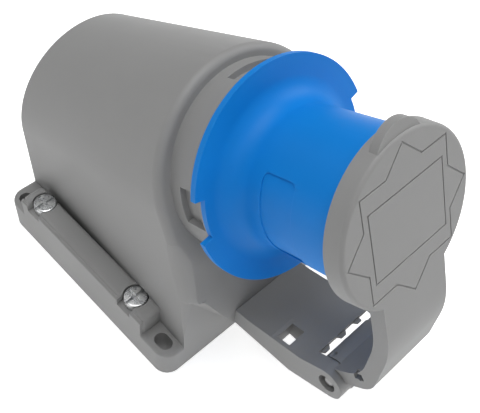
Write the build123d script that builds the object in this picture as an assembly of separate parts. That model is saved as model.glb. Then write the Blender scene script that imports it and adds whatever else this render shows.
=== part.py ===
from build123d import *
import math
import os

os.makedirs("parts", exist_ok=True)

# Angled pin and sleeve inlet for wall mounting: 16 A, two poles and earth, blue for 200 to 250 V.
# Millimetres. Origin on the wall at the centre of the mounting slots, +Z away from the wall,
# +X along the housing towards the inlet, +Y across it.

# Base flange and side rails
base_length = 97.0
base_width = 87.5
base_corner = 6.0
flange_height = 13.6
flange_edge_round = 1.5
rail_top = 23.0
rail_end_inset = 12.5
rail_width = 8.9
rail_shift = -1.2
rail_inset = 1.0
rail_round = 1.4
core_gap = 7.4
core_shift = -0.1
core_width = 4.6
core_top = 20.0

# Mounting slots in the four corners
slot_inset_x = 6.8
slot_inset_y = 4.75
slot_width = 5.2
slot_length = 7.4
slot_post = 5.8
slot_post_side = 4.45

# Inlet axis: tilted up from the wall, through the middle of the inlet flange's front face
tilt = 23.15
axis_x = 52.6
axis_z = 88.7

# Hood: round-topped tunnel along the inlet axis, tapering to the back
hood_front = -16.6
hood_radius = 36.0
hood_drop = 1.3
hood_taper = 2.65
hood_lead = 20.0
hood_wall = 3.0
hood_edge_round = 2.6
hood_back_inset = 0.6
inner_bend = 97.0
outer_bend = 124.0

# Collar that carries the inlet, with blind finger windows
collar_radius = 30.8
collar_bore = 26.6
window_floor = 28.8
window_back = -12.2
window_front = -3.9
side_window_angle = 176.5
side_window_sweep = 23.0
top_window_angle = 83.0
top_window_sweep = 32.0

# Inlet shroud
flange_radius = 35.0
flange_thickness = 2.0
flange_fillet = 7.0
notch_angle = 176.2
notch_sweep = 23.5
notch_floor = 31.6
sleeve_root = 21.9
sleeve_mouth = 22.7
sleeve_bore = 19.6
sleeve_end = 40.2
sleeve_chamfer = 0.7
spigot_end = -22.6
spigot_wall = 2.4
ledge = -5.0
fit_gap = 0.2
hook_sweep = 22.0
hook_reach = 1.6
hook_slit = 3.0
hook_slit_depth = 9.0
key_sweep = 17.0
key_radius = 23.8
key_start = 3.0
key_end = 38.0
label_start = 11.5
label_end = 23.5
label_angle = 176.0
label_sweep = 72.0
label_floor = 21.75
label_corner = 2.0
inlet_gasket_thickness = 0.9

# Pin carrier and contacts
carrier_front = 3.0
carrier_flange = 3.0
carrier_barrel = 17.0
carrier_back = -24.0
pin_circle = 9.3
pin_diameter = 5.0
earth_diameter = 6.0
pin_tip = 36.5
pin_tip_round = 1.6
terminal_diameter = 8.4
terminal_depth = 14.0
wire_hole = 3.4
wire_hole_depth = 11.0
terminal_screw = 3.5
terminal_screw_length = 4.6
terminal_screw_set_back = 8.5
terminal_access = 4.4
carrier_screw = 2.5
carrier_screw_bite = 3.6
carrier_screw_head = 4.2
carrier_screw_head_height = 1.6
carrier_screw_circle = 21.6

# Lid
lid_radius = 26.1
lid_face_radius = 25.8
lid_back = 38.4
lid_front = 44.4
lid_wall = 2.2
lid_skirt = 2.5
lid_edge_round = 1.3
lid_seal_thickness = 1.7
lid_seal_inner = 18.6
tab_radius = 9.0
tab_reach = 29.7
tab_back = 40.9
tab_front = 43.6
star_radius = 24.4
groove_width = 0.5
groove_depth = 0.3
panel_width = 30.2
panel_height = 22.9

# Lid arm
arm_width = 26.9
arm_thickness = 5.3
arm_front = 109.0
arm_turn = 46.1
arm_bend = 35.0
arm_heel = 11.0
arm_inner_heel = 16.0
heel_pocket = (103.3, 47.3)
heel_pocket_size = 2.5
heel_pocket_depth = 2.0

# Hinge
hinge_x = 95.5
hinge_z = 33.1
barrel_radius = 6.5
knuckle_radius = 6.1
barrel_width = 20.4
side_gap = 0.25
knuckle_clearance = 0.6
hinge_pin_diameter = 4.0
pin_clearance = 0.05
pin_recess = 2.6
pin_recess_diameter = 6.7
spring_wire = 1.3
spring_radius = 3.3
spring_turns = 4
spring_pitch = 1.6
spring_bay = 9.4
spring_bay_radius = 4.6
spring_leg = 1.6
spring_wire_sides = 8

# Nose under the hood's rim that carries the bracket: Y and Z of its flanks, and its chin
nose_flank = ((16.0, 15.7), (29.5, 42.7), (36.5, 46.2))
nose_chin = 13.0

# Hinge bracket on the front of the hood
bracket_width = 32.0
bracket_back = 53.8
bracket_back_top = 25.0
bracket_back_bottom = 17.0
bracket_wall = 3.2
bracket_cheek = 2.0
bracket_top = ((59.5, 26.0), (66.1, 28.0), (83.5, 33.1))
bracket_kink = (80.8, 19.9)
edge_clearance = 2.4
edge_tooth = 1.3
edge_tooth_root = 4.2
edge_tooth_spacing = 8.2
edge_tooth_shift = 1.3
lock_hole = (74.8, -10.6)
lock_hole_length = 5.4
lock_hole_width = 7.4
lock_collar = 1.4
lock_depth = 8.0
bracket_screw = 3.0
bracket_screw_bite = 7.2
bracket_screw_head = 5.2
bracket_screw_head_height = 2.0
bracket_screw_z = 19.0
bracket_screw_spacing = 18.0

# Back plate, its gasket and the cover screws
plate_thickness = 3.0
plate_inset = 1.6
plate_corner = 3.0
gasket_band = 1.2
gasket_height = 1.2
cover_screw = 4.0
cover_screw_head = 7.8
cover_screw_head_height = 2.6
cover_screw_front_inset = 9.6
cover_screw_rear_inset = 7.6
cover_screw_side_inset = 5.95
cover_seat = 18.9
seat_diameter = 9.6
seat_mouth = 7.2
boss_diameter = 6.4
boss_top = 11.5
boss_floor = 1.2
cover_screw_turn = 35.0

# Cross slots in the screw heads, as shares of the head's width and height
slot_share = 0.16
cross_share = 0.62
slot_depth_share = 0.45
head_edge_share = 0.25
terminal_slot = 0.7
terminal_slot_depth = 0.8

# Cable entry in the back wall, closed by a grommet
entry_diameter = 25.0
entry_height = 32.0
grommet_lip = 2.2
grommet_lip_thickness = 1.6
grommet_skin = 1.2
grommet_nose = 8.5
grommet_nose_depth = 5.0

# Worked-out positions
tilt_rad = math.radians(tilt)
axis_cos = math.cos(tilt_rad)
axis_sin = math.sin(tilt_rad)
axis = Plane(origin=(axis_x, 0, axis_z), x_dir=(0, 1, 0), z_dir=(axis_cos, 0, axis_sin))
hinge = Pos(hinge_x, 0, hinge_z) * Rot(-90, 0, 0)
far = 400.0
overrun = 1.0
front_x = base_length / 2
back_x = -base_length / 2 + hood_back_inset
slot_x = base_length / 2 - slot_inset_x
slot_y = base_width / 2 - slot_inset_y
rail_length = base_length - 2 * rail_end_inset
rail_front = rail_shift + rail_length / 2
rail_rear = rail_shift - rail_length / 2
cover_screw_x = (rail_front - cover_screw_front_inset, rail_rear + cover_screw_rear_inset)
cover_screw_y = base_width / 2 - cover_screw_side_inset
core_length = cover_screw_x[0] - cover_screw_x[1] - 2 * core_gap
core_x = (cover_screw_x[0] + cover_screw_x[1]) / 2 + core_shift
gasket_length = base_length - 2 * (plate_inset + fit_gap)
gasket_width = 2 * (cover_screw_y - boss_diameter / 2 - fit_gap)
bracket_edge = hinge_x - barrel_radius - edge_clearance
collar_front = -flange_thickness - inlet_gasket_thickness
spigot_radius = collar_bore - fit_gap
carrier_back_flange = ledge - carrier_flange
carrier_flange_radius = spigot_radius - spigot_wall - fit_gap
terminal_back = carrier_back_flange - terminal_depth
screw_station = terminal_back + terminal_depth - terminal_screw_set_back
lid_bore = lid_radius - lid_skirt
seal_back = lid_front - lid_wall - lid_seal_thickness
knuckle_inner = barrel_width / 2 + side_gap
seal_outer = lid_bore - fit_gap
rail_y = base_width / 2 - rail_inset - rail_width / 2
sides = (-1, 1)


def write(part, name):
    export_step(part, f"parts/{name}.step")


def disc(radius, start, end):
    """A cylinder about the inlet axis between two stations."""
    return axis.location * Pos(0, 0, (start + end) / 2) * Cylinder(radius, end - start)


def ring(outer, inner, start, end):
    return disc(outer, start, end) - disc(inner, start, end)


def turned(points):
    """A body turned about the inlet axis from (radius, station) points."""
    face = make_face(Polyline(*points, close=True))
    return axis.location * revolve(Plane.XZ * face, Axis.Z)


def sector(angle, sweep, outer, inner, start, end):
    """A ring segment about the inlet axis, its angle counted from +Y towards the top."""
    reach = 2 * outer
    half = math.radians(sweep / 2)
    wedge = Polyline(
        (0, 0),
        (reach * math.cos(half), -reach * math.sin(half)),
        (reach * math.cos(half), reach * math.sin(half)),
        close=True,
    )
    band = (Circle(outer) - Circle(inner)) & make_face(wedge)
    return axis.location * Pos(0, 0, start) * Rot(0, 0, angle) * extrude(band, end - start)


def spoke(angle, radius, station):
    """A place beside the inlet axis, its own X pointing outwards."""
    return axis.location * Rot(0, 0, angle) * Pos(radius, 0, station)


def prism(points, width):
    """An X-Z outline extruded both ways across the part."""
    return extrude(Plane.XZ * make_face(Polyline(*points, close=True)), width / 2, both=True)


def on_axis(station, height):
    """X and Z of a point in the middle plane, given along and above the inlet axis."""
    x = axis_x + station * axis_cos - height * axis_sin
    z = axis_z + station * axis_sin + height * axis_cos
    return x, z


def tunnel(radius):
    """The round-topped body swept back along the inlet axis, narrowing as it goes."""
    start_radius = radius + hood_lead * math.tan(math.radians(hood_taper))
    arch = Circle(start_radius) + Pos(0, -far / 4) * Rectangle(2 * start_radius, far / 2)
    body = extrude(arch, 1.6 * base_length, taper=hood_taper)
    return axis.location * Pos(0, -hood_drop, hood_front + hood_lead) * Rot(0, 180, 0) * body


def behind_front(x, inset, bend_radius):
    """What lies behind the hood's front: upright at the base, then bending back across the axis."""
    station = hood_front - inset
    corner_z = axis_z + (station - (x - axis_x) * axis_cos) / axis_sin
    reach = bend_radius * math.tan(tilt_rad / 2)
    low = (x, corner_z - reach)
    high = (x - reach * axis_sin, corner_z + reach * axis_cos)
    rear = back_x + inset
    outline = Polyline(high, on_axis(station, axis_z), (rear, 2 * axis_z), (rear, 0), (x, 0), low)
    bend = RadiusArc(high, low, bend_radius)
    return extrude(Plane.XZ * make_face(outline.edges() + bend.edges()), base_width, both=True)


def upright_plate(length, width, corner, bottom, top):
    return Pos(0, 0, bottom) * extrude(RectangleRounded(length, width, corner), top - bottom)


def upright_rod(diameter, bottom, top):
    return Pos(0, 0, (bottom + top) / 2) * Cylinder(diameter / 2, top - bottom)


def hinge_rod(diameter, half_width):
    return hinge * Cylinder(diameter / 2, 2 * half_width)


def across(part):
    """A piece and its mirror image on the other side of the middle plane."""
    return part + mirror(part, Plane.XZ)


def socket_head(screw, bite, head, head_height):
    """A screw along +Z with its head above zero and a cross slot in the head."""
    body = upright_rod(screw, -bite, 0) + upright_rod(head, 0, head_height)
    top_edge = body.edges().sort_by(Axis.Z)[-1]
    body = chamfer(top_edge, head_edge_share * head_height)
    slot_height = 2 * slot_depth_share * head_height
    slot = Box(head + overrun, slot_share * head, slot_height)
    cross = Box(slot_share * head, cross_share * head, slot_height)
    return body - Pos(0, 0, head_height) * (slot + cross)


def plate_outline(gap):
    """The recess under the hood: a rectangle with its corners cut away round the mounting slots."""
    length = base_length - 2 * (plate_inset + gap)
    width = base_width - 2 * (plate_inset + gap)
    long_bar = Rectangle(length, 2 * (slot_y - slot_post_side - gap))
    wide_bar = Rectangle(2 * (slot_x - slot_post - gap), width)
    return long_bar + wide_bar


# Hood
shell = tunnel(hood_radius) & behind_front(bracket_back, 0, outer_bend)
front_faces = [f for f in shell.faces() if f.normal_at().X > 0.5 and f.center().X > 0.5 * axis_x]
rim_edges = [
    e for f in front_faces for e in f.edges() if e.geom_type != GeomType.LINE or abs((e % 0.5).Y) < 0.5
]
shell = fillet(ShapeList(rim_edges), hood_edge_round)
front_plane = Plane(origin=(front_x, 0, 0), x_dir=(0, 1, 0), z_dir=(1, 0, 0))
flank_top = nose_flank[-1][1]
beside_nose = Polyline(
    (nose_flank[0][0], 0), *nose_flank, (base_width, flank_top), (base_width, 0), close=True
)
shell -= across(extrude(front_plane * make_face(beside_nose), base_width))
chin_points = [(front_x, 0), (front_x, nose_chin), (bracket_back, bracket_back_bottom), (far, 0)]
shell -= prism(chin_points, base_width)
flange = upright_plate(base_length, base_width, base_corner, 0, flange_height)
flange = fillet(flange.faces().sort_by(Axis.Z)[-1].edges(), flange_edge_round)
rail = Pos(rail_shift, -rail_y, rail_top / 2) * Box(rail_length, rail_width, rail_top)
rail = fillet(rail.edges().filter_by(Axis.Z) + rail.faces().sort_by(Axis.Z)[-1].edges(), rail_round)
hood = flange + shell + across(rail) + disc(collar_radius, hood_front - hood_wall, collar_front)
hood -= tunnel(hood_radius - hood_wall) & behind_front(front_x - hood_wall, hood_wall, inner_bend)
hood -= disc(collar_bore, hood_front - 4 * hood_wall, collar_front)
hood -= disc(spigot_radius + hook_reach + fit_gap, hood_front - 4 * hood_wall, hood_front - hood_wall)
hood -= extrude(plate_outline(0), plate_thickness)
gasket_outer = RectangleRounded(gasket_length, gasket_width, plate_corner)
gasket_inner = RectangleRounded(
    gasket_length - 2 * gasket_band, gasket_width - 2 * gasket_band, plate_corner - gasket_band
)
gasket = Pos(0, 0, plate_thickness) * extrude(gasket_outer - gasket_inner, gasket_height)
hood -= gasket
core = Pos(core_x, -rail_y, core_top / 2) * Box(core_length, core_width, core_top)
hood -= across(core)
for x in cover_screw_x:
    hole = upright_rod(cover_screw + 2 * fit_gap, 0, cover_seat)
    hole += upright_rod(boss_diameter + 2 * fit_gap, 0, boss_top + fit_gap)
    hole += upright_rod(seat_diameter, cover_seat, rail_top + overrun)
    mouth_place = Pos(0, -seat_diameter / 2, (cover_seat + rail_top + overrun) / 2)
    hole += mouth_place * Box(seat_mouth, seat_diameter, rail_top + overrun - cover_seat)
    hood -= across(Pos(x, -cover_screw_y, 0) * hole)
for x_side in sides:
    for y_side in sides:
        slot = extrude(SlotOverall(slot_length, slot_width), flange_height)
        hood -= Pos(x_side * slot_x, y_side * slot_y, 0) * slot
for angle in (side_window_angle, 180 - side_window_angle):
    hood -= sector(angle, side_window_sweep, collar_radius + overrun, window_floor, window_back, window_front)
for angle in (top_window_angle, 180 + top_window_angle):
    hood -= sector(angle, top_window_sweep, collar_radius + overrun, window_floor, window_back, window_front)
hood -= Pos(back_x, 0, entry_height) * Rot(0, 90, 0) * Cylinder(entry_diameter / 2, 3 * hood_wall)
bracket_screw_places = [
    Pos(bracket_back, side * bracket_screw_spacing / 2, bracket_screw_z) * Rot(0, 90, 0) for side in sides
]
for place in bracket_screw_places:
    hood -= place * upright_rod(bracket_screw, -bracket_screw_bite, overrun)

# Back plate that closes the hood, with the bosses that the cover screws bite into
plate = extrude(plate_outline(fit_gap), plate_thickness)
for x in cover_screw_x:
    boss = across(Pos(x, -cover_screw_y, 0) * upright_rod(boss_diameter, 0, boss_top))
    plate = plate + boss - across(Pos(x, -cover_screw_y, 0) * upright_rod(cover_screw, boss_floor, boss_top))

# Cover screws, grommet and flange gasket
cover_bite = cover_seat - boss_floor - overrun
cover_screws = Part()
for x in cover_screw_x:
    screw = socket_head(cover_screw, cover_bite, cover_screw_head, cover_screw_head_height)
    cover_screws += across(Pos(x, -cover_screw_y, cover_seat) * Rot(0, 0, cover_screw_turn) * screw)
neck = entry_diameter / 2
lip = neck + grommet_lip
grommet_points = [
    (0, -grommet_nose_depth),
    (grommet_nose, -grommet_nose_depth),
    (neck - grommet_skin, -grommet_lip_thickness),
    (lip, -grommet_lip_thickness),
    (lip, 0),
    (neck, 0),
    (neck, hood_wall),
    (lip, hood_wall),
    (lip, hood_wall + grommet_lip_thickness),
    (neck - 2 * grommet_skin, hood_wall + grommet_lip_thickness),
    (neck - 2 * grommet_skin, 0),
    (grommet_nose - grommet_skin, grommet_skin - grommet_nose_depth),
    (0, grommet_skin - grommet_nose_depth),
]
grommet = revolve(Plane.XZ * make_face(Polyline(*grommet_points, close=True)), Axis.Z)
grommet = Pos(back_x, 0, entry_height) * Rot(0, 90, 0) * grommet
inlet_gasket = ring(collar_radius - 0.5, collar_bore + 0.5, collar_front, -flange_thickness)

# Inlet shroud: flange, sleeve and the spigot that snaps into the collar
inlet = turned([
    (sleeve_bore, ledge),
    (spigot_radius - spigot_wall, ledge),
    (spigot_radius - spigot_wall, spigot_end),
    (spigot_radius, spigot_end),
    (spigot_radius, -flange_thickness),
    (flange_radius, -flange_thickness),
    (flange_radius, 0),
    (sleeve_root, 0),
    (sleeve_mouth, sleeve_end - sleeve_chamfer),
    (sleeve_mouth - sleeve_chamfer, sleeve_end),
    (sleeve_bore + sleeve_chamfer, sleeve_end),
    (sleeve_bore, sleeve_end - sleeve_chamfer),
])
root_plane_edges = inlet.edges().filter_by(GeomType.CIRCLE)
root_edge = min(
    root_plane_edges, key=lambda e: abs(e.radius - sleeve_root) + (e.arc_center - axis.origin).length
)
inlet = fillet(root_edge, flange_fillet)
for angle in (notch_angle, 180 - notch_angle):
    inlet -= sector(angle, notch_sweep, flange_radius + overrun, notch_floor, -flange_thickness, overrun)
hook_front = hood_front - hood_wall - fit_gap
for angle in (45, 135, 225, 315):
    hook_top = spigot_radius + hook_reach
    inlet += sector(angle, hook_sweep, hook_top, spigot_radius - overrun, spigot_end, hook_front)
    slit_floor = spigot_radius - spigot_wall - overrun
    slit_end = spigot_end + hook_slit_depth
    for turn in sides:
        slit_angle = angle + turn * (hook_sweep + hook_slit) / 2
        inlet -= sector(slit_angle, hook_slit, hook_top + overrun, slit_floor, spigot_end, slit_end)
inlet += sector(270, key_sweep, key_radius, sleeve_root - overrun, key_start, key_end)
label_top = sleeve_mouth + overrun
label = sector(label_angle, label_sweep, label_top, label_floor, label_start, label_end)
label_ends = ShapeList([
    e for e in label.edges().filter_by(GeomType.LINE) if abs(e.length - (label_top - label_floor)) < 0.01
])
inlet -= fillet(label_ends, label_corner)

# Pin carrier with its terminal pockets, the contacts and their screws
pin_places = {"neutral": 30, "live": 150, "earth": 270}
carrier = disc(sleeve_bore - fit_gap, ledge, carrier_front)
carrier += disc(carrier_flange_radius, carrier_back_flange, ledge)
carrier += disc(carrier_barrel, carrier_back, carrier_back_flange)
terminal_screws = Part()
for name, angle in pin_places.items():
    diameter = earth_diameter if name == "earth" else pin_diameter
    place = spoke(angle, pin_circle, 0)
    side_hole = spoke(angle, pin_circle, screw_station) * Rot(0, 90, 0)
    pin_rod = upright_rod(diameter, carrier_back_flange, pin_tip)
    pin = fillet(pin_rod.edges().sort_by(Axis.Z)[-1], pin_tip_round)
    pin += upright_rod(terminal_diameter, terminal_back, carrier_back_flange)
    pin -= upright_rod(wire_hole, terminal_back, terminal_back + wire_hole_depth)
    carrier -= place * upright_rod(diameter, carrier_back_flange, carrier_front)
    carrier -= place * upright_rod(terminal_diameter + fit_gap, carrier_back, carrier_back_flange)
    carrier -= side_hole * upright_rod(terminal_access, 0, carrier_barrel)
    screw = upright_rod(terminal_screw, wire_hole / 2, wire_hole / 2 + terminal_screw_length)
    screw_top = wire_hole / 2 + terminal_screw_length
    screw -= Pos(0, 0, screw_top) * Box(terminal_screw + overrun, terminal_slot, 2 * terminal_slot_depth)
    terminal_screws += side_hole * screw
    write(place * pin - side_hole * upright_rod(terminal_screw, 0, terminal_diameter), f"{name}_pin")
carrier_screws = Part()
for angle in (90, 210, 330):
    place = spoke(angle, carrier_screw_circle, carrier_back_flange) * Rot(0, 180, 0)
    bite = carrier_flange + carrier_screw_bite
    carrier_screws += place * socket_head(carrier_screw, bite, carrier_screw_head, carrier_screw_head_height)
    carrier -= place * upright_rod(carrier_screw, -bite, 0)
    inlet -= place * upright_rod(carrier_screw, -bite, 0)

# Lid with its arm
lid = turned([
    (0, lid_front - lid_wall),
    (lid_bore, lid_front - lid_wall),
    (lid_bore, lid_back),
    (lid_radius, lid_back),
    (lid_face_radius, lid_front),
    (0, lid_front),
])
face_edge = min(lid.edges().filter_by(GeomType.CIRCLE), key=lambda e: abs(e.radius - lid_face_radius))
lid = fillet(face_edge, lid_edge_round)
tab = disc(tab_radius, tab_back, tab_front).moved(
    Location(axis.from_local_coords(Vector(0, tab_reach - tab_radius, 0)) - axis.origin)
)
heel_z = hinge_z - 0.3
heel_x = arm_front - (arm_turn - heel_z)
arm_inner = arm_front - arm_thickness
corner_height = (axis_x + lid_front * axis_cos - arm_front) / axis_sin
inner_height = (axis_x + (lid_front - arm_thickness) * axis_cos - arm_inner) / axis_sin
inner_turn = arm_turn + (math.sqrt(2) - 1) * arm_thickness
arm_points = [
    on_axis(lid_front, -0.5 * lid_radius),
    on_axis(lid_front, corner_height),
    (arm_front, arm_turn),
    (heel_x, heel_z),
    (heel_x - arm_thickness / math.sqrt(2), heel_z + arm_thickness / math.sqrt(2)),
    (arm_inner, inner_turn),
    on_axis(lid_front - arm_thickness, inner_height),
    on_axis(lid_front - arm_thickness, -0.5 * lid_radius),
]
arm = prism(arm_points, arm_width)


def bend_edge(part, point, radius):
    target = Vector(point[0], 0, point[1])
    edges = part.edges().filter_by(Axis.Y)
    edge = min(edges, key=lambda e: (e.center() - target).length)
    return fillet(edge, radius)


arm = bend_edge(arm, arm_points[1], arm_bend)
arm = bend_edge(arm, arm_points[2], arm_heel)
arm = bend_edge(arm, arm_points[6], arm_bend - arm_thickness)
arm = bend_edge(arm, arm_points[5], arm_inner_heel)
heel_cut = Box(heel_pocket_size, 2 * heel_pocket_depth, heel_pocket_size)
arm -= across(Pos(heel_pocket[0], -arm_width / 2, heel_pocket[1]) * heel_cut)
arm -= disc(lid_bore, lid_back - 2 * arm_thickness, lid_front - lid_wall)
lid += tab - disc(lid_bore, 0, lid_front - lid_wall)
lid += arm + hinge_rod(2 * barrel_radius, barrel_width / 2)
knuckle_room = hinge_rod(2 * (knuckle_radius + knuckle_clearance), bracket_width)
lid -= knuckle_room - hinge_rod(4 * barrel_radius, barrel_width / 2)
lid -= hinge_rod(hinge_pin_diameter + 2 * pin_clearance, bracket_width)
lid -= hinge_rod(2 * spring_bay_radius, spring_bay / 2)
star = RegularPolygon(star_radius, 4) + Rot(0, 0, 45) * RegularPolygon(star_radius, 4)
inset_radius = star_radius - groove_width * math.sqrt(2)
star -= RegularPolygon(inset_radius, 4) + Rot(0, 0, 45) * RegularPolygon(inset_radius, 4)
panel = Rectangle(panel_width, panel_height)
panel -= Rectangle(panel_width - 2 * groove_width, panel_height - 2 * groove_width)
engraving = axis.location * Pos(0, 0, lid_front - groove_depth) * extrude(star + panel, 2 * groove_depth)
lid -= engraving
lid_seal = ring(seal_outer, lid_seal_inner, seal_back, lid_front - lid_wall)

# Hinge bracket
touch_top = math.acos(knuckle_radius / (hinge_x - bracket_top[-1][0]))
kink_x = hinge_x - bracket_kink[0]
kink_z = hinge_z - bracket_kink[1]
touch_low = math.acos(knuckle_radius / math.hypot(kink_x, kink_z))
top_turn = math.pi - touch_top
low_turn = math.pi + math.atan2(kink_z, kink_x) + touch_low
bracket_points = [
    (bracket_back, bracket_back_bottom),
    (bracket_back, bracket_back_top),
    *bracket_top,
    (hinge_x + knuckle_radius * math.cos(top_turn), hinge_z + knuckle_radius * math.sin(top_turn)),
    (hinge_x, hinge_z),
    (hinge_x + knuckle_radius * math.cos(low_turn), hinge_z + knuckle_radius * math.sin(low_turn)),
    bracket_kink,
]
bracket = prism(bracket_points, bracket_width) + hinge_rod(2 * knuckle_radius, bracket_width / 2)
pocket_points = [
    (bracket_back + bracket_wall, 0),
    (bracket_back + bracket_wall, bracket_back_top - bracket_wall),
    (bracket_top[1][0], bracket_top[1][1] - bracket_wall),
    (bracket_edge, bracket_top[-1][1] - bracket_wall),
    (bracket_edge, 0),
]
bracket -= prism(pocket_points, bracket_width - 2 * bracket_cheek)
lock_place = Pos(lock_hole[0], lock_hole[1], bracket_top[-1][1] - lock_depth + hinge_z / 2)
collar_block = Box(lock_hole_length + 2 * lock_collar, lock_hole_width + 2 * lock_collar, hinge_z)
bracket += lock_place * collar_block & prism(bracket_points, bracket_width)
front_room = Pos(bracket_edge + far / 2, 0, 0) * Box(far, 2 * knuckle_inner, far)
bracket -= front_room
for step in sides + (0,):
    y = edge_tooth_shift + step * edge_tooth_spacing
    tooth = Polyline(
        (bracket_edge - overrun, y - edge_tooth_root / 2),
        (bracket_edge, y - edge_tooth_root / 2),
        (bracket_edge + edge_tooth, y - edge_tooth_root / 4),
        (bracket_edge + edge_tooth, y + edge_tooth_root / 4),
        (bracket_edge, y + edge_tooth_root / 2),
        (bracket_edge - overrun, y + edge_tooth_root / 2),
        close=True,
    )
    tooth_foot = Plane.XY.offset(bracket_top[-1][1] - bracket_wall)
    bracket += extrude(tooth_foot * make_face(tooth), bracket_wall)
bracket -= Pos(lock_hole[0], lock_hole[1], hinge_z) * Box(lock_hole_length, lock_hole_width, hinge_z)
bracket -= hinge_rod(hinge_pin_diameter + 2 * pin_clearance, bracket_width)
pin_half = bracket_width / 2 - pin_recess
bracket -= hinge_rod(pin_recess_diameter, bracket_width) - hinge_rod(2 * pin_recess_diameter, pin_half)
bracket_screws = Part()
for place in bracket_screw_places:
    head_place = place * Pos(0, 0, bracket_wall)
    bite = bracket_wall + bracket_screw_bite
    screw = socket_head(bracket_screw, bite, bracket_screw_head, bracket_screw_head_height)
    bracket_screws += head_place * screw
    bracket -= place * upright_rod(bracket_screw, -overrun, bracket_wall)

# Hinge pin and lid spring
hinge_pin = hinge_rod(hinge_pin_diameter, pin_half)
coil_length = spring_turns * spring_pitch
coil = Helix(pitch=spring_pitch, height=coil_length, radius=spring_radius)
leg_end = coil @ 0 - (coil % 0) * spring_leg
far_leg_end = coil @ 1 + (coil % 1) * spring_leg
wire = Wire([Line(leg_end, coil @ 0).edge(), coil.edge(), Line(coil @ 1, far_leg_end).edge()])
wire_section = RegularPolygon(spring_wire / 2, spring_wire_sides)
spring = sweep(Plane(origin=leg_end, z_dir=coil % 0) * wire_section, path=wire, is_frenet=True)
spring = hinge * Rot(0, 0, -90) * Pos(0, 0, -coil_length / 2) * spring

write(hood, "housing_hood")
write(plate, "back_plate")
write(gasket, "back_gasket")
write(cover_screws, "cover_screws")
write(grommet, "entry_grommet")
write(inlet_gasket, "inlet_gasket")
write(inlet, "inlet_shroud")
write(carrier, "pin_carrier")
write(terminal_screws, "terminal_screws")
write(carrier_screws, "carrier_screws")
write(lid, "lid")
write(lid_seal, "lid_seal")
write(bracket, "hinge_bracket")
write(bracket_screws, "bracket_screws")
write(hinge_pin, "hinge_pin")
write(spring, "lid_spring")
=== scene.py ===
import math

import bpy
from mathutils import Matrix, Vector


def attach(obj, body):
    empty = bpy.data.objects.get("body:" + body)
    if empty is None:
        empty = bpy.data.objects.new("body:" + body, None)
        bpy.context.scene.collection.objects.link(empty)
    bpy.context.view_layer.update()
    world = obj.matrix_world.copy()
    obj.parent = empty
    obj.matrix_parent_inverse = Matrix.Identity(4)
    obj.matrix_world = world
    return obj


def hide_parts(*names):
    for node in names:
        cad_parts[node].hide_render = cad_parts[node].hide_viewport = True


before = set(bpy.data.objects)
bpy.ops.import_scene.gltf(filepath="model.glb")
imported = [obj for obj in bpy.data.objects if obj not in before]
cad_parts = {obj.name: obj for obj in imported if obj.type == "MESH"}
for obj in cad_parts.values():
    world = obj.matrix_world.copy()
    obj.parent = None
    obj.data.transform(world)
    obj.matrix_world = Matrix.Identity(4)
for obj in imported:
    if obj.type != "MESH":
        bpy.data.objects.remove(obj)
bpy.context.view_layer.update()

MM = 0.001


def mm(*values):
    """Millimetres as metres."""
    return tuple(MM * value for value in values)


# Camera at the photograph's place
CAMERA_PLACE = Vector((138.771, -120.426, 261.68)) * MM
CAMERA_RIGHT = Vector((0.689171, 0.720511, 0.076867))
CAMERA_DOWN = Vector((0.608385, -0.517752, -0.601498))
CAMERA_FORWARD = Vector((-0.393588, 0.4613, -0.795167))
SENSOR_WIDTH = 36
LENS = 57.47

# Lights: name, place, size and power, all turned to one point
LIGHTS = (
    ("overhead", (-0.05, 0.0, 0.95), 0.7, 5.8),
    ("front_fill", (0.85, 0.1, 0.4), 0.6, 0.9),
    ("near_fill", (0.4, -0.45, 0.7), 0.6, 1.0),
    ("back_fill", (-0.7, -0.2, 0.6), 0.6, 0.6),
    ("far_side", (0.2, 0.8, 0.6), 0.6, 3.7),
)
LIGHTS_AIM = (0.02, 0, 0.06)
SKY_STRENGTH = 0.12

# Floor
FLOOR_SIZE = 60
FLOOR_HEIGHT = -0.5 * MM
FLOOR_TONE = 0.9
FLOOR_GLOW = 0.6

# Height of the plastic's grain
GRAIN_DEPTH = 0.02 * MM

# Smallest distances: the radius that stands for a point on an axis, and points that count as one
POLE = 0.001 * MM
TOUCHING = 5 * POLE

# Roundings of the edges, the angle from which an edge is sharp and the angle up to which faces are flat
EDGE_ROUND = 0.35 * MM
LID_EDGE_ROUND = 0.15 * MM
SHROUD_EDGE_ROUND = 0.25 * MM
SCREW_EDGE_ROUND = 0.12 * MM
SHARP_ANGLE = 35.0
SCREW_SHARP_ANGLE = 30.0
PIN_SHARP_ANGLE = 40.0
FLAT_ANGLE = 0.5

# A point at a different distance from each element of a screw, to put them in a fixed order
ORDER_POINT = (0.1, 0.17, 0.29)

# Hood: its front, the nose that runs out into the front, and the corners
FRONT_X = 48.5 * MM
NOSE_LOW = 15.0 * MM
NOSE_HIGH = 47.0 * MM
NOSE_HALF_WIDTH = 15.9 * MM
FLANK_SOFTNESS = 3.0 * MM
HOOD_HALF_WIDTH = 35.8 * MM

# Radius of the hood's front corner, the front's X and the height, from the flange up to the rim
CORNER_STATIONS = [
    mm(*station) for station in (
        (0.3, 48.5, 20.0), (2.9, 48.5, 33.0), (4.6, 48.5, 43.0), (9.2, 52.8, 43.7), (9.1, 52.7, 46.0),
        (8.6, 51.7, 48.5), (8.0, 49.4, 54.0), (6.4, 46.0, 62.0), (3.0, 42.6, 70.0),
    )
]
# How far the corner's cutter stands out of the hood, as a share of the corner's radius
CUTTER_REACH = 0.6

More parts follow.
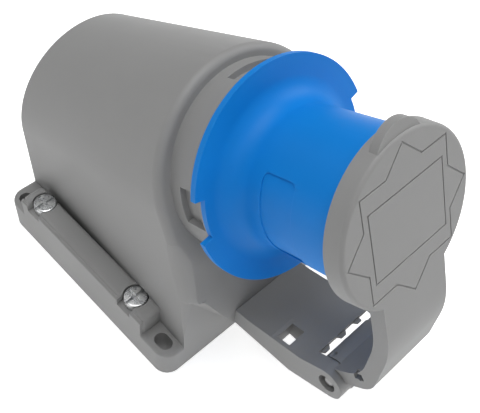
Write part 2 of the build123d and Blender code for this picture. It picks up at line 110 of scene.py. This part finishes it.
# Outer walls of the rails, and the seats that open them beside the screws
RAIL_MIDDLE = -1.2 * MM
RAIL_WALL_SIZE = mm(71.6, 1.09, 17.1)
RAIL_WALL_Y = 43.205 * MM
RAIL_WALL_Z = 13.55 * MM
RAIL_TOP_SOFTNESS = 0.9 * MM
RAIL_TOP_ABOVE = 20 * MM
RAIL_OUTSIDE_FROM = 43.5 * MM
SEAT_SIZE = mm(7.2, 4, 6)
SEAT_Y = 43.2 * MM
SEAT_Z = 21.9 * MM

# Cover screws: places, outline as (radius, height) from the foot of the head, and slots
SCREW_X = mm(25.2, -29.6)
SCREW_Y = 37.8 * MM
SCREW_FOOT = 18.9 * MM
SCREW_OUTLINE = [
    mm(*point) for point in (
        (0.001, -16.7), (1.5, -16.7), (2.0, -16.2), (2.0, 0), (4.15, 0),
        (4.35, 0.2), (4.35, 3.5), (4.2, 3.75), (3.85, 3.9), (0.001, 4.0),
    )
]
SLOT_CENTRE = mm(0, 0, 4.0)
LONG_SLOT_SIZE = mm(1.15, 10, 2.6)
SHORT_SLOT_SIZE = mm(7.6, 1.05, 2.2)

# Bracket: size and centre of the lock hole's tube and of each cut
LOCK_TUBE = (mm(8.2, 10.2, 7.5), mm(74.8, -10.6, 26))
BRACKET_CUTS = {
    "lock_hole": (mm(5.4, 7.4, 30), mm(74.8, -10.6, 30)),
    "thin_edge": (mm(4.4, 25.3, 3.2), mm(86.8, 3.85, 30.7)),
    "far_gap": (mm(3.4, 4.5, 40), mm(88.3, 12.65, 30)),
    "far_cheek": (mm(12.8, 3.2, 15), mm(83.2, 15.0, 22.4)),
}

# Lid: the turned pocket in the side of its heel and the notch beside the spring
HEEL_POCKET = Vector((103.2, -13.45, 47.3)) * MM
HEEL_SLANT = 38
HEEL_POCKET_SIZE = mm(3.8, 4, 2.5)
NOTCH_SIZE = mm(2.6, 2.6, 2.4)
NOTCH_CENTRE = mm(90.6, -8.9, 38.4)

# Hinge pin: its place, and its outline as (radius, height) from its middle
HINGE = Vector((95.5, 0, 33.1)) * MM
PIN_OUTLINE = [
    mm(*point) for point in (
        (0.001, -15.3), (1.3, -15.22), (1.85, -14.9), (2.0, -14.5),
        (2.0, 14.5), (1.85, 14.9), (1.3, 15.22), (0.001, 15.3),
    )
]


# Camera, lights and floor
def set_camera():
    data = bpy.data.cameras.new("camera")
    camera = bpy.data.objects.new("camera", data)
    bpy.context.collection.objects.link(camera)
    turn = Matrix((CAMERA_RIGHT, -CAMERA_DOWN, -CAMERA_FORWARD)).transposed().to_4x4()
    camera.matrix_world = Matrix.Translation(CAMERA_PLACE) @ turn
    data.sensor_width = SENSOR_WIDTH
    data.lens = LENS
    data.clip_start = 0.01
    data.clip_end = 10
    bpy.context.scene.camera = camera


def soft_light(name, place, size, power):
    data = bpy.data.lights.new(name, "AREA")
    data.shape = "DISK"
    data.size = size
    data.energy = power
    light = bpy.data.objects.new(name, data)
    bpy.context.collection.objects.link(light)
    light.location = place
    light.rotation_euler = (Vector(LIGHTS_AIM) - Vector(place)).to_track_quat("-Z", "Y").to_euler()


def set_lights():
    bpy.context.scene.view_settings.view_transform = "Standard"
    world = bpy.data.worlds.new("studio")
    world.use_nodes = True
    sky = world.node_tree.nodes["Background"]
    sky.inputs["Color"].default_value = (1, 1, 1, 1)
    sky.inputs["Strength"].default_value = SKY_STRENGTH
    bpy.context.scene.world = world
    for name, place, size, power in LIGHTS:
        soft_light(name, place, size, power)


def set_floor():
    bpy.ops.object.select_all(action="DESELECT")
    bpy.ops.mesh.primitive_plane_add(size=FLOOR_SIZE, location=(0, 0, FLOOR_HEIGHT))
    floor = bpy.context.object
    floor.name = "floor"
    material = bpy.data.materials.new("floor_paper")
    material.use_nodes = True
    shader = material.node_tree.nodes["Principled BSDF"]
    shader.inputs["Base Color"].default_value = (FLOOR_TONE, FLOOR_TONE, FLOOR_TONE, 1)
    shader.inputs["Roughness"].default_value = 0.9
    shader.inputs["Emission Color"].default_value = (1, 1, 1, 1)
    shader.inputs["Emission Strength"].default_value = FLOOR_GLOW
    floor.data.materials.append(material)


# Materials
def link(tree, start, start_socket, end, end_socket):
    tree.links.new(start.outputs[start_socket], end.inputs[end_socket])


def group_shell(name, sockets):
    """An empty node group with the named inputs and outputs."""
    tree = bpy.data.node_groups.new(name, "ShaderNodeTree")
    for socket, way, default in sockets:
        made = tree.interface.new_socket(name=socket, in_out=way, socket_type="NodeSocketFloat")
        if default is not None:
            made.default_value = default
    entry = tree.nodes.new("NodeGroupInput")
    leave = tree.nodes.new("NodeGroupOutput")
    return tree, entry, leave


def span(tree, source, socket, low, high):
    """Spreads a noise's middle range over low to high."""
    node = tree.nodes.new("ShaderNodeMapRange")
    node.inputs["From Min"].default_value = 0.3
    node.inputs["From Max"].default_value = 0.7
    node.inputs["To Min"].default_value = low
    node.inputs["To Max"].default_value = high
    link(tree, source, socket, node, "Value")
    return node


def moulding_group():
    """A slow drift that tone and gloss follow, and the height of a fine grain."""
    tree, entry, leave = group_shell("moulding", [
        ("Drift Scale", "INPUT", 40.0),
        ("Grain Scale", "INPUT", 2500.0),
        ("Drift", "OUTPUT", None),
        ("Grain", "OUTPUT", None),
    ])
    place = tree.nodes.new("ShaderNodeTexCoord")
    for name, detail in (("Drift", 3), ("Grain", 2)):
        noise = tree.nodes.new("ShaderNodeTexNoise")
        noise.inputs["Detail"].default_value = detail
        link(tree, place, "Object", noise, "Vector")
        link(tree, entry, name + " Scale", noise, "Scale")
        link(tree, noise, "Fac", leave, name)
    return tree


def edge_wear_and_highlight_group():
    """A mask that is high on the edges, broken up by a patchy noise; the paler tone it lets in paints
    both rubbed wear and a highlight along the edges.
    """
    tree, entry, leave = group_shell("edge_wear_and_highlight", [
        ("Width", "INPUT", 0.6 * MM),
        ("Patch Scale", "INPUT", 180.0),
        ("Worn And Lit", "OUTPUT", None),
    ])
    place = tree.nodes.new("ShaderNodeTexCoord")
    surface = tree.nodes.new("ShaderNodeNewGeometry")
    rounded = tree.nodes.new("ShaderNodeBevel")
    rounded.samples = 4
    link(tree, entry, "Width", rounded, "Radius")
    lean = tree.nodes.new("ShaderNodeVectorMath")
    lean.operation = "DOT_PRODUCT"
    tree.links.new(surface.outputs["Normal"], lean.inputs[0])
    tree.links.new(rounded.outputs["Normal"], lean.inputs[1])
    edge = tree.nodes.new("ShaderNodeMapRange")
    for socket, value in (("From Min", 0.995), ("From Max", 0.85), ("To Min", 0.0), ("To Max", 1.0)):
        edge.inputs[socket].default_value = value
    link(tree, lean, "Value", edge, "Value")
    patches = tree.nodes.new("ShaderNodeTexNoise")
    patches.inputs["Detail"].default_value = 4
    link(tree, place, "Object", patches, "Vector")
    link(tree, entry, "Patch Scale", patches, "Scale")
    broken = span(tree, patches, "Fac", 0.15, 1.0)
    worn_and_lit = tree.nodes.new("ShaderNodeMath")
    worn_and_lit.operation = "MULTIPLY"
    tree.links.new(edge.outputs["Result"], worn_and_lit.inputs[0])
    tree.links.new(broken.outputs["Result"], worn_and_lit.inputs[1])
    link(tree, worn_and_lit, "Value", leave, "Worn And Lit")
    return tree


def blend_colours(tree, source, socket, first, second):
    node = tree.nodes.new("ShaderNodeMix")
    node.data_type = "RGBA"
    node.inputs["A"].default_value = (*first, 1)
    node.inputs["B"].default_value = (*second, 1)
    link(tree, source, socket, node, "Factor")
    return node


def rub_and_highlight_edges(tree, colour, worn_and_lit_tint):
    """Mixes a slightly paler tone into the colour along the edges: rubbed wear, and a painted highlight
    on the edges.
    """
    wear_and_highlight = tree.nodes.new("ShaderNodeGroup")
    wear_and_highlight.node_tree = EDGE_WEAR_AND_HIGHLIGHT
    node = tree.nodes.new("ShaderNodeMix")
    node.data_type = "RGBA"
    node.inputs["B"].default_value = (*worn_and_lit_tint, 1)
    link(tree, wear_and_highlight, "Worn And Lit", node, "Factor")
    tree.links.new(colour.outputs["Result"], node.inputs["A"])
    return node


def finish(name, tones, gloss, metal=0.0, grain=2500.0, drift=40.0, specular=0.5, rubbed_and_lit=None):
    """A material that drifts between two tones and two roughnesses, with a fine grain."""
    material = bpy.data.materials.new(name)
    material.use_nodes = True
    tree = material.node_tree
    shader = tree.nodes["Principled BSDF"]
    shader.inputs["Metallic"].default_value = metal
    shader.inputs["Specular IOR Level"].default_value = specular
    group = tree.nodes.new("ShaderNodeGroup")
    group.node_tree = MOULDING
    group.inputs["Drift Scale"].default_value = drift
    group.inputs["Grain Scale"].default_value = grain
    tone = span(tree, group, "Drift", 0, 1)
    colour = blend_colours(tree, tone, "Result", *tones)
    # Paler edges: rubbed wear, and a painted highlight along the edges.
    if rubbed_and_lit:
        colour = rub_and_highlight_edges(tree, colour, rubbed_and_lit)
    link(tree, colour, "Result", shader, "Base Color")
    rough = span(tree, group, "Drift", *gloss)
    link(tree, rough, "Result", shader, "Roughness")
    bump = tree.nodes.new("ShaderNodeBump")
    bump.inputs["Distance"].default_value = GRAIN_DEPTH
    bump.inputs["Strength"].default_value = 0.6
    link(tree, group, "Grain", bump, "Height")
    link(tree, bump, "Normal", shader, "Normal")
    return material


MOULDING = moulding_group()
EDGE_WEAR_AND_HIGHLIGHT = edge_wear_and_highlight_group()
# The rubbed tones of the grey and the blue are paler edge tones that paint both wear and a highlight
# along the edges.
GREY = finish(
    "grey_plastic", ((0.243, 0.243, 0.242), (0.262, 0.262, 0.26)), (0.46, 0.58),
    specular=0.35, rubbed_and_lit=(0.3, 0.3, 0.3),
)
BLUE = finish(
    "blue_plastic", ((0.003, 0.185, 0.59), (0.004, 0.2, 0.62)), (0.42, 0.54),
    specular=0.16, rubbed_and_lit=(0.02, 0.24, 0.68),
)
DARK = finish("carrier_plastic", ((0.03, 0.03, 0.034), (0.036, 0.036, 0.04)), (0.5, 0.6))
RUBBER = finish("seal_rubber", ((0.012, 0.012, 0.012), (0.02, 0.02, 0.02)), (0.65, 0.8))
GROMMET = finish("grommet_rubber", ((0.05, 0.05, 0.052), (0.062, 0.062, 0.064)), (0.6, 0.75))
PIN = finish(
    "pin_plating", ((0.62, 0.57, 0.47), (0.68, 0.64, 0.55)), (0.18, 0.28), metal=1.0, grain=6000.0
)
ZINC = finish(
    "zinc_plating", ((0.58, 0.6, 0.62), (0.7, 0.7, 0.69)), (0.22, 0.36),
    metal=1.0, grain=5000.0, drift=400.0,
)
SPRING = finish(
    "spring_steel", ((0.26, 0.26, 0.26), (0.33, 0.32, 0.31)), (0.38, 0.48), metal=1.0, grain=5000.0
)

FINISHES = (
    (GREY, ("housing_hood", "back_plate", "hinge_bracket", "lid")),
    (BLUE, ("inlet_shroud",)),
    (DARK, ("pin_carrier",)),
    (RUBBER, ("back_gasket", "inlet_gasket", "lid_seal")),
    (GROMMET, ("entry_grommet",)),
    (PIN, ("earth_pin", "live_pin", "neutral_pin")),
    (ZINC, ("cover_screws", "terminal_screws", "carrier_screws", "bracket_screws")),
    (SPRING, ("hinge_pin", "lid_spring")),
)
for material, nodes in FINISHES:
    for node in nodes:
        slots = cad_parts[node].data.materials
        slots.clear()
        slots.append(material)


# Modelling steps
def only(piece):
    bpy.ops.object.select_all(action="DESELECT")
    piece.select_set(True)
    bpy.context.view_layer.objects.active = piece


def turned(name, outline, segments, place=Matrix()):
    """A body turned about its own Z: a circle extruded and resized along (radius, height) points."""
    bpy.ops.object.select_all(action="DESELECT")
    radius, height = outline[0]
    bpy.ops.mesh.primitive_circle_add(vertices=segments, radius=radius, location=(0, 0, height))
    piece = bpy.context.object
    piece.name = name
    bpy.ops.object.transform_apply(location=True)
    bpy.ops.object.mode_set(mode="EDIT")
    bpy.ops.mesh.select_all(action="SELECT")
    for next_radius, next_height in outline[1:]:
        bpy.ops.mesh.extrude_edges_move(TRANSFORM_OT_translate={"value": (0, 0, next_height - height)})
        grow = next_radius / radius
        bpy.ops.transform.resize(value=(grow, grow, 1), center_override=(0, 0, next_height))
        radius, height = next_radius, next_height
    bpy.ops.mesh.select_all(action="SELECT")
    bpy.ops.mesh.remove_doubles(threshold=TOUCHING)
    bpy.ops.mesh.normals_make_consistent(inside=False)
    bpy.ops.object.mode_set(mode="OBJECT")
    piece.data.transform(place)
    return piece


def block(name, size, centre, place=Matrix()):
    """A block for cutting or adding, with its centre on its own axes and then put in place."""
    bpy.ops.object.select_all(action="DESELECT")
    bpy.ops.mesh.primitive_cube_add(size=1, location=centre)
    piece = bpy.context.object
    piece.name = name
    piece.scale = size
    bpy.ops.object.transform_apply(location=True, scale=True)
    piece.data.transform(place)
    return piece


def combine(piece, other, operation):
    tool = piece.modifiers.new("combine", "BOOLEAN")
    tool.operation = operation
    tool.object = other
    tool.solver = "MANIFOLD"
    only(piece)
    bpy.ops.object.modifier_apply(modifier=tool.name)
    bpy.data.objects.remove(other, do_unlink=True)


def bevel_edges(piece, wanted, width, segments):
    """Bevels the edges whose two ends pass the test."""
    only(piece)
    bpy.ops.object.mode_set(mode="EDIT")
    bpy.ops.mesh.select_mode(type="EDGE")
    bpy.ops.mesh.select_all(action="DESELECT")
    bpy.ops.object.mode_set(mode="OBJECT")
    for edge in piece.data.edges:
        edge.select = wanted(*(piece.data.vertices[v].co for v in edge.vertices))
    bpy.ops.object.mode_set(mode="EDIT")
    bpy.ops.mesh.bevel(offset=width, segments=segments, affect="EDGES")
    bpy.ops.object.mode_set(mode="OBJECT")


def fixed_order(piece):
    """Orders the elements by their distance from one point, so that each run merges the same faces."""
    only(piece)
    bpy.context.scene.cursor.location = ORDER_POINT
    bpy.ops.object.mode_set(mode="EDIT")
    bpy.ops.mesh.select_all(action="SELECT")
    bpy.ops.mesh.sort_elements(type="CURSOR_DISTANCE", elements={"VERT", "EDGE", "FACE"})
    bpy.ops.object.mode_set(mode="OBJECT")


def merge_flat_faces(piece):
    """Merges points that touch and faces that lie in one plane."""
    only(piece)
    bpy.ops.object.mode_set(mode="EDIT")
    bpy.ops.mesh.select_all(action="SELECT")
    bpy.ops.mesh.remove_doubles(threshold=POLE)
    bpy.ops.mesh.dissolve_limited(angle_limit=math.radians(FLAT_ANGLE))
    bpy.ops.object.mode_set(mode="OBJECT")


def round_edges(piece, width, sharp_angle=SHARP_ANGLE):
    """Rounds the sharp edges and shades the faces between them evenly."""
    merge_flat_faces(piece)
    tool = piece.modifiers.new("round_edges", "BEVEL")
    tool.width = width
    tool.segments = 2
    tool.limit_method = "ANGLE"
    tool.angle_limit = math.radians(sharp_angle)
    only(piece)
    bpy.ops.object.modifier_apply(modifier=tool.name)
    bpy.ops.object.shade_smooth_by_angle(angle=math.radians(sharp_angle))
    level = piece.modifiers.new("level_faces", "WEIGHTED_NORMAL")
    level.keep_sharp = True
    bpy.ops.object.modifier_apply(modifier=level.name)


def merged_copy(name, node):
    """The solid's own shape as a clean mesh, ready for its edges to be rounded."""
    piece = bpy.data.objects.new(name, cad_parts[node].data.copy())
    bpy.context.collection.objects.link(piece)
    merge_flat_faces(piece)
    return piece


def dress(piece, node, body, material):
    """Gives the piece its material and its body, and hides the solid that it replaces."""
    piece.data.materials.clear()
    piece.data.materials.append(material)
    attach(piece, body)
    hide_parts(node)


# Pieces
def soften_nose_flanks(hood):
    """A wide soft bevel where the nose runs out into the front of the base."""
    def on_flank(start, end):
        on_front = all(abs(point.x - FRONT_X) < TOUCHING for point in (start, end))
        beside_nose = all(
            abs(point.y) > NOSE_HALF_WIDTH and NOSE_LOW < point.z < NOSE_HIGH for point in (start, end)
        )
        slanted = abs(start.y - end.y) > MM and abs(start.z - end.z) > MM
        return on_front and beside_nose and slanted

    bevel_edges(hood, on_flank, FLANK_SOFTNESS, 5)


def corner_cutter(side):
    """What a growing rounding takes off the front corner of the hood, from the flange up to the rim."""
    arc = [math.radians(15 * step) for step in range(7)]
    section = [(math.cos(turn) - 1, side * (math.sin(turn) - 1)) for turn in arc]
    section += [(-1, side * CUTTER_REACH), (CUTTER_REACH, side * CUTTER_REACH), (CUTTER_REACH, -side)]
    radius, front, height = CORNER_STATIONS[0]
    bpy.ops.object.select_all(action="DESELECT")
    bpy.ops.mesh.primitive_circle_add(
        vertices=len(section), radius=radius, fill_type="NGON", location=(0, 0, 0)
    )
    cutter = bpy.context.object
    cutter.name = "corner_cutter"
    for vertex, (x, y) in zip(cutter.data.vertices, section):
        vertex.co = (front + radius * x, side * HOOD_HALF_WIDTH + radius * y, height)
    bpy.ops.object.mode_set(mode="EDIT")
    bpy.ops.mesh.select_all(action="SELECT")
    for next_radius, next_front, next_height in CORNER_STATIONS[1:]:
        step = (next_front - front, 0, next_height - height)
        bpy.ops.mesh.extrude_region_move(TRANSFORM_OT_translate={"value": step})
        grow = next_radius / radius
        corner = (next_front, side * HOOD_HALF_WIDTH, next_height)
        bpy.ops.transform.resize(value=(grow, grow, 1), center_override=corner)
        radius, front, height = next_radius, next_front, next_height
    bpy.ops.mesh.select_all(action="SELECT")
    bpy.ops.mesh.normals_make_consistent(inside=False)
    bpy.ops.object.mode_set(mode="OBJECT")
    return cutter


def rail_side(side):
    """The rail's outer wall, flush with the flange, with a soft top edge and open screw seats."""
    def on_top_outside(*ends):
        return all(end.z > RAIL_TOP_ABOVE and abs(end.y) > RAIL_OUTSIDE_FROM for end in ends)

    wall = block("rail_side", RAIL_WALL_SIZE, (RAIL_MIDDLE, side * RAIL_WALL_Y, RAIL_WALL_Z))
    bevel_edges(wall, on_top_outside, RAIL_TOP_SOFTNESS, 3)
    for x in SCREW_X:
        combine(wall, block("seat", SEAT_SIZE, (x, side * SEAT_Y, SEAT_Z)), "DIFFERENCE")
    return wall


def make_hood():
    hood = merged_copy("moulded_hood", "housing_hood")
    soften_nose_flanks(hood)
    for side in (-1, 1):
        combine(hood, corner_cutter(side), "DIFFERENCE")
        combine(hood, rail_side(side), "UNION")
    round_edges(hood, EDGE_ROUND)
    dress(hood, "housing_hood", "inlet", GREY)


def make_bracket():
    """The bracket with a tube for its lock hole, a thin front edge and a gap up to the far cheek."""
    bracket = merged_copy("moulded_bracket", "hinge_bracket")
    combine(bracket, block("lock_tube", *LOCK_TUBE), "UNION")
    for name, cut in BRACKET_CUTS.items():
        combine(bracket, block(name, *cut), "DIFFERENCE")
    round_edges(bracket, EDGE_ROUND)
    dress(bracket, "hinge_bracket", "inlet", GREY)


def make_lid():
    """The lid with its heel pocket and its notch."""
    lid = merged_copy("moulded_lid", "lid")
    slant = Matrix.Translation(HEEL_POCKET) @ Matrix.Rotation(math.radians(-HEEL_SLANT), 4, "Y")
    combine(lid, block("heel_pocket", HEEL_POCKET_SIZE, (0, 0, 0), slant), "DIFFERENCE")
    combine(lid, block("notch", NOTCH_SIZE, NOTCH_CENTRE), "DIFFERENCE")
    round_edges(lid, LID_EDGE_ROUND)
    dress(lid, "lid", "lid", GREY)


def make_hinge_pin():
    """A steel pin with domed ends that stop just inside the cheeks."""
    place = Matrix.Translation(HINGE) @ Matrix.Rotation(math.radians(90), 4, "X")
    pin = turned("turned_hinge_pin", PIN_OUTLINE, 48, place)
    only(pin)
    bpy.ops.object.shade_smooth_by_angle(angle=math.radians(PIN_SHARP_ANGLE))
    dress(pin, "hinge_pin", "inlet", SPRING)


def make_rounded(name, node, material, width):
    """A solid of the inlet that only has its edges rounded."""
    piece = merged_copy(name, node)
    round_edges(piece, width)
    dress(piece, node, "inlet", material)


def cheese_head_screw():
    """A tall flat head with a long slot and a shorter cross slot, over a plain shank."""
    screw = turned("cheese_head_screws", SCREW_OUTLINE, 64)
    combine(screw, block("long_slot", LONG_SLOT_SIZE, SLOT_CENTRE), "DIFFERENCE")
    combine(screw, block("short_slot", SHORT_SLOT_SIZE, SLOT_CENTRE), "DIFFERENCE")
    fixed_order(screw)
    round_edges(screw, SCREW_EDGE_ROUND, SCREW_SHARP_ANGLE)
    return screw


def make_cover_screws():
    """Four screws on the side rails: one is modelled and copied, and all are joined into one piece."""
    screws = [cheese_head_screw()]
    places = [(x, y, SCREW_FOOT) for x in SCREW_X for y in (-SCREW_Y, SCREW_Y)]
    while len(screws) < len(places):
        screw = bpy.data.objects.new("cover_screw", screws[0].data.copy())
        bpy.context.collection.objects.link(screw)
        screws.append(screw)
    only(screws[0])
    for screw, place in zip(screws, places):
        screw.data.transform(Matrix.Translation(place))
        screw.select_set(True)
    bpy.ops.object.join()
    dress(screws[0], "cover_screws", "inlet", ZINC)


make_hood()
make_bracket()
make_lid()
make_hinge_pin()
make_rounded("moulded_shroud", "inlet_shroud", BLUE, SHROUD_EDGE_ROUND)
make_rounded("moulded_back_plate", "back_plate", GREY, EDGE_ROUND)
make_cover_screws()
set_camera()
set_lights()
set_floor()
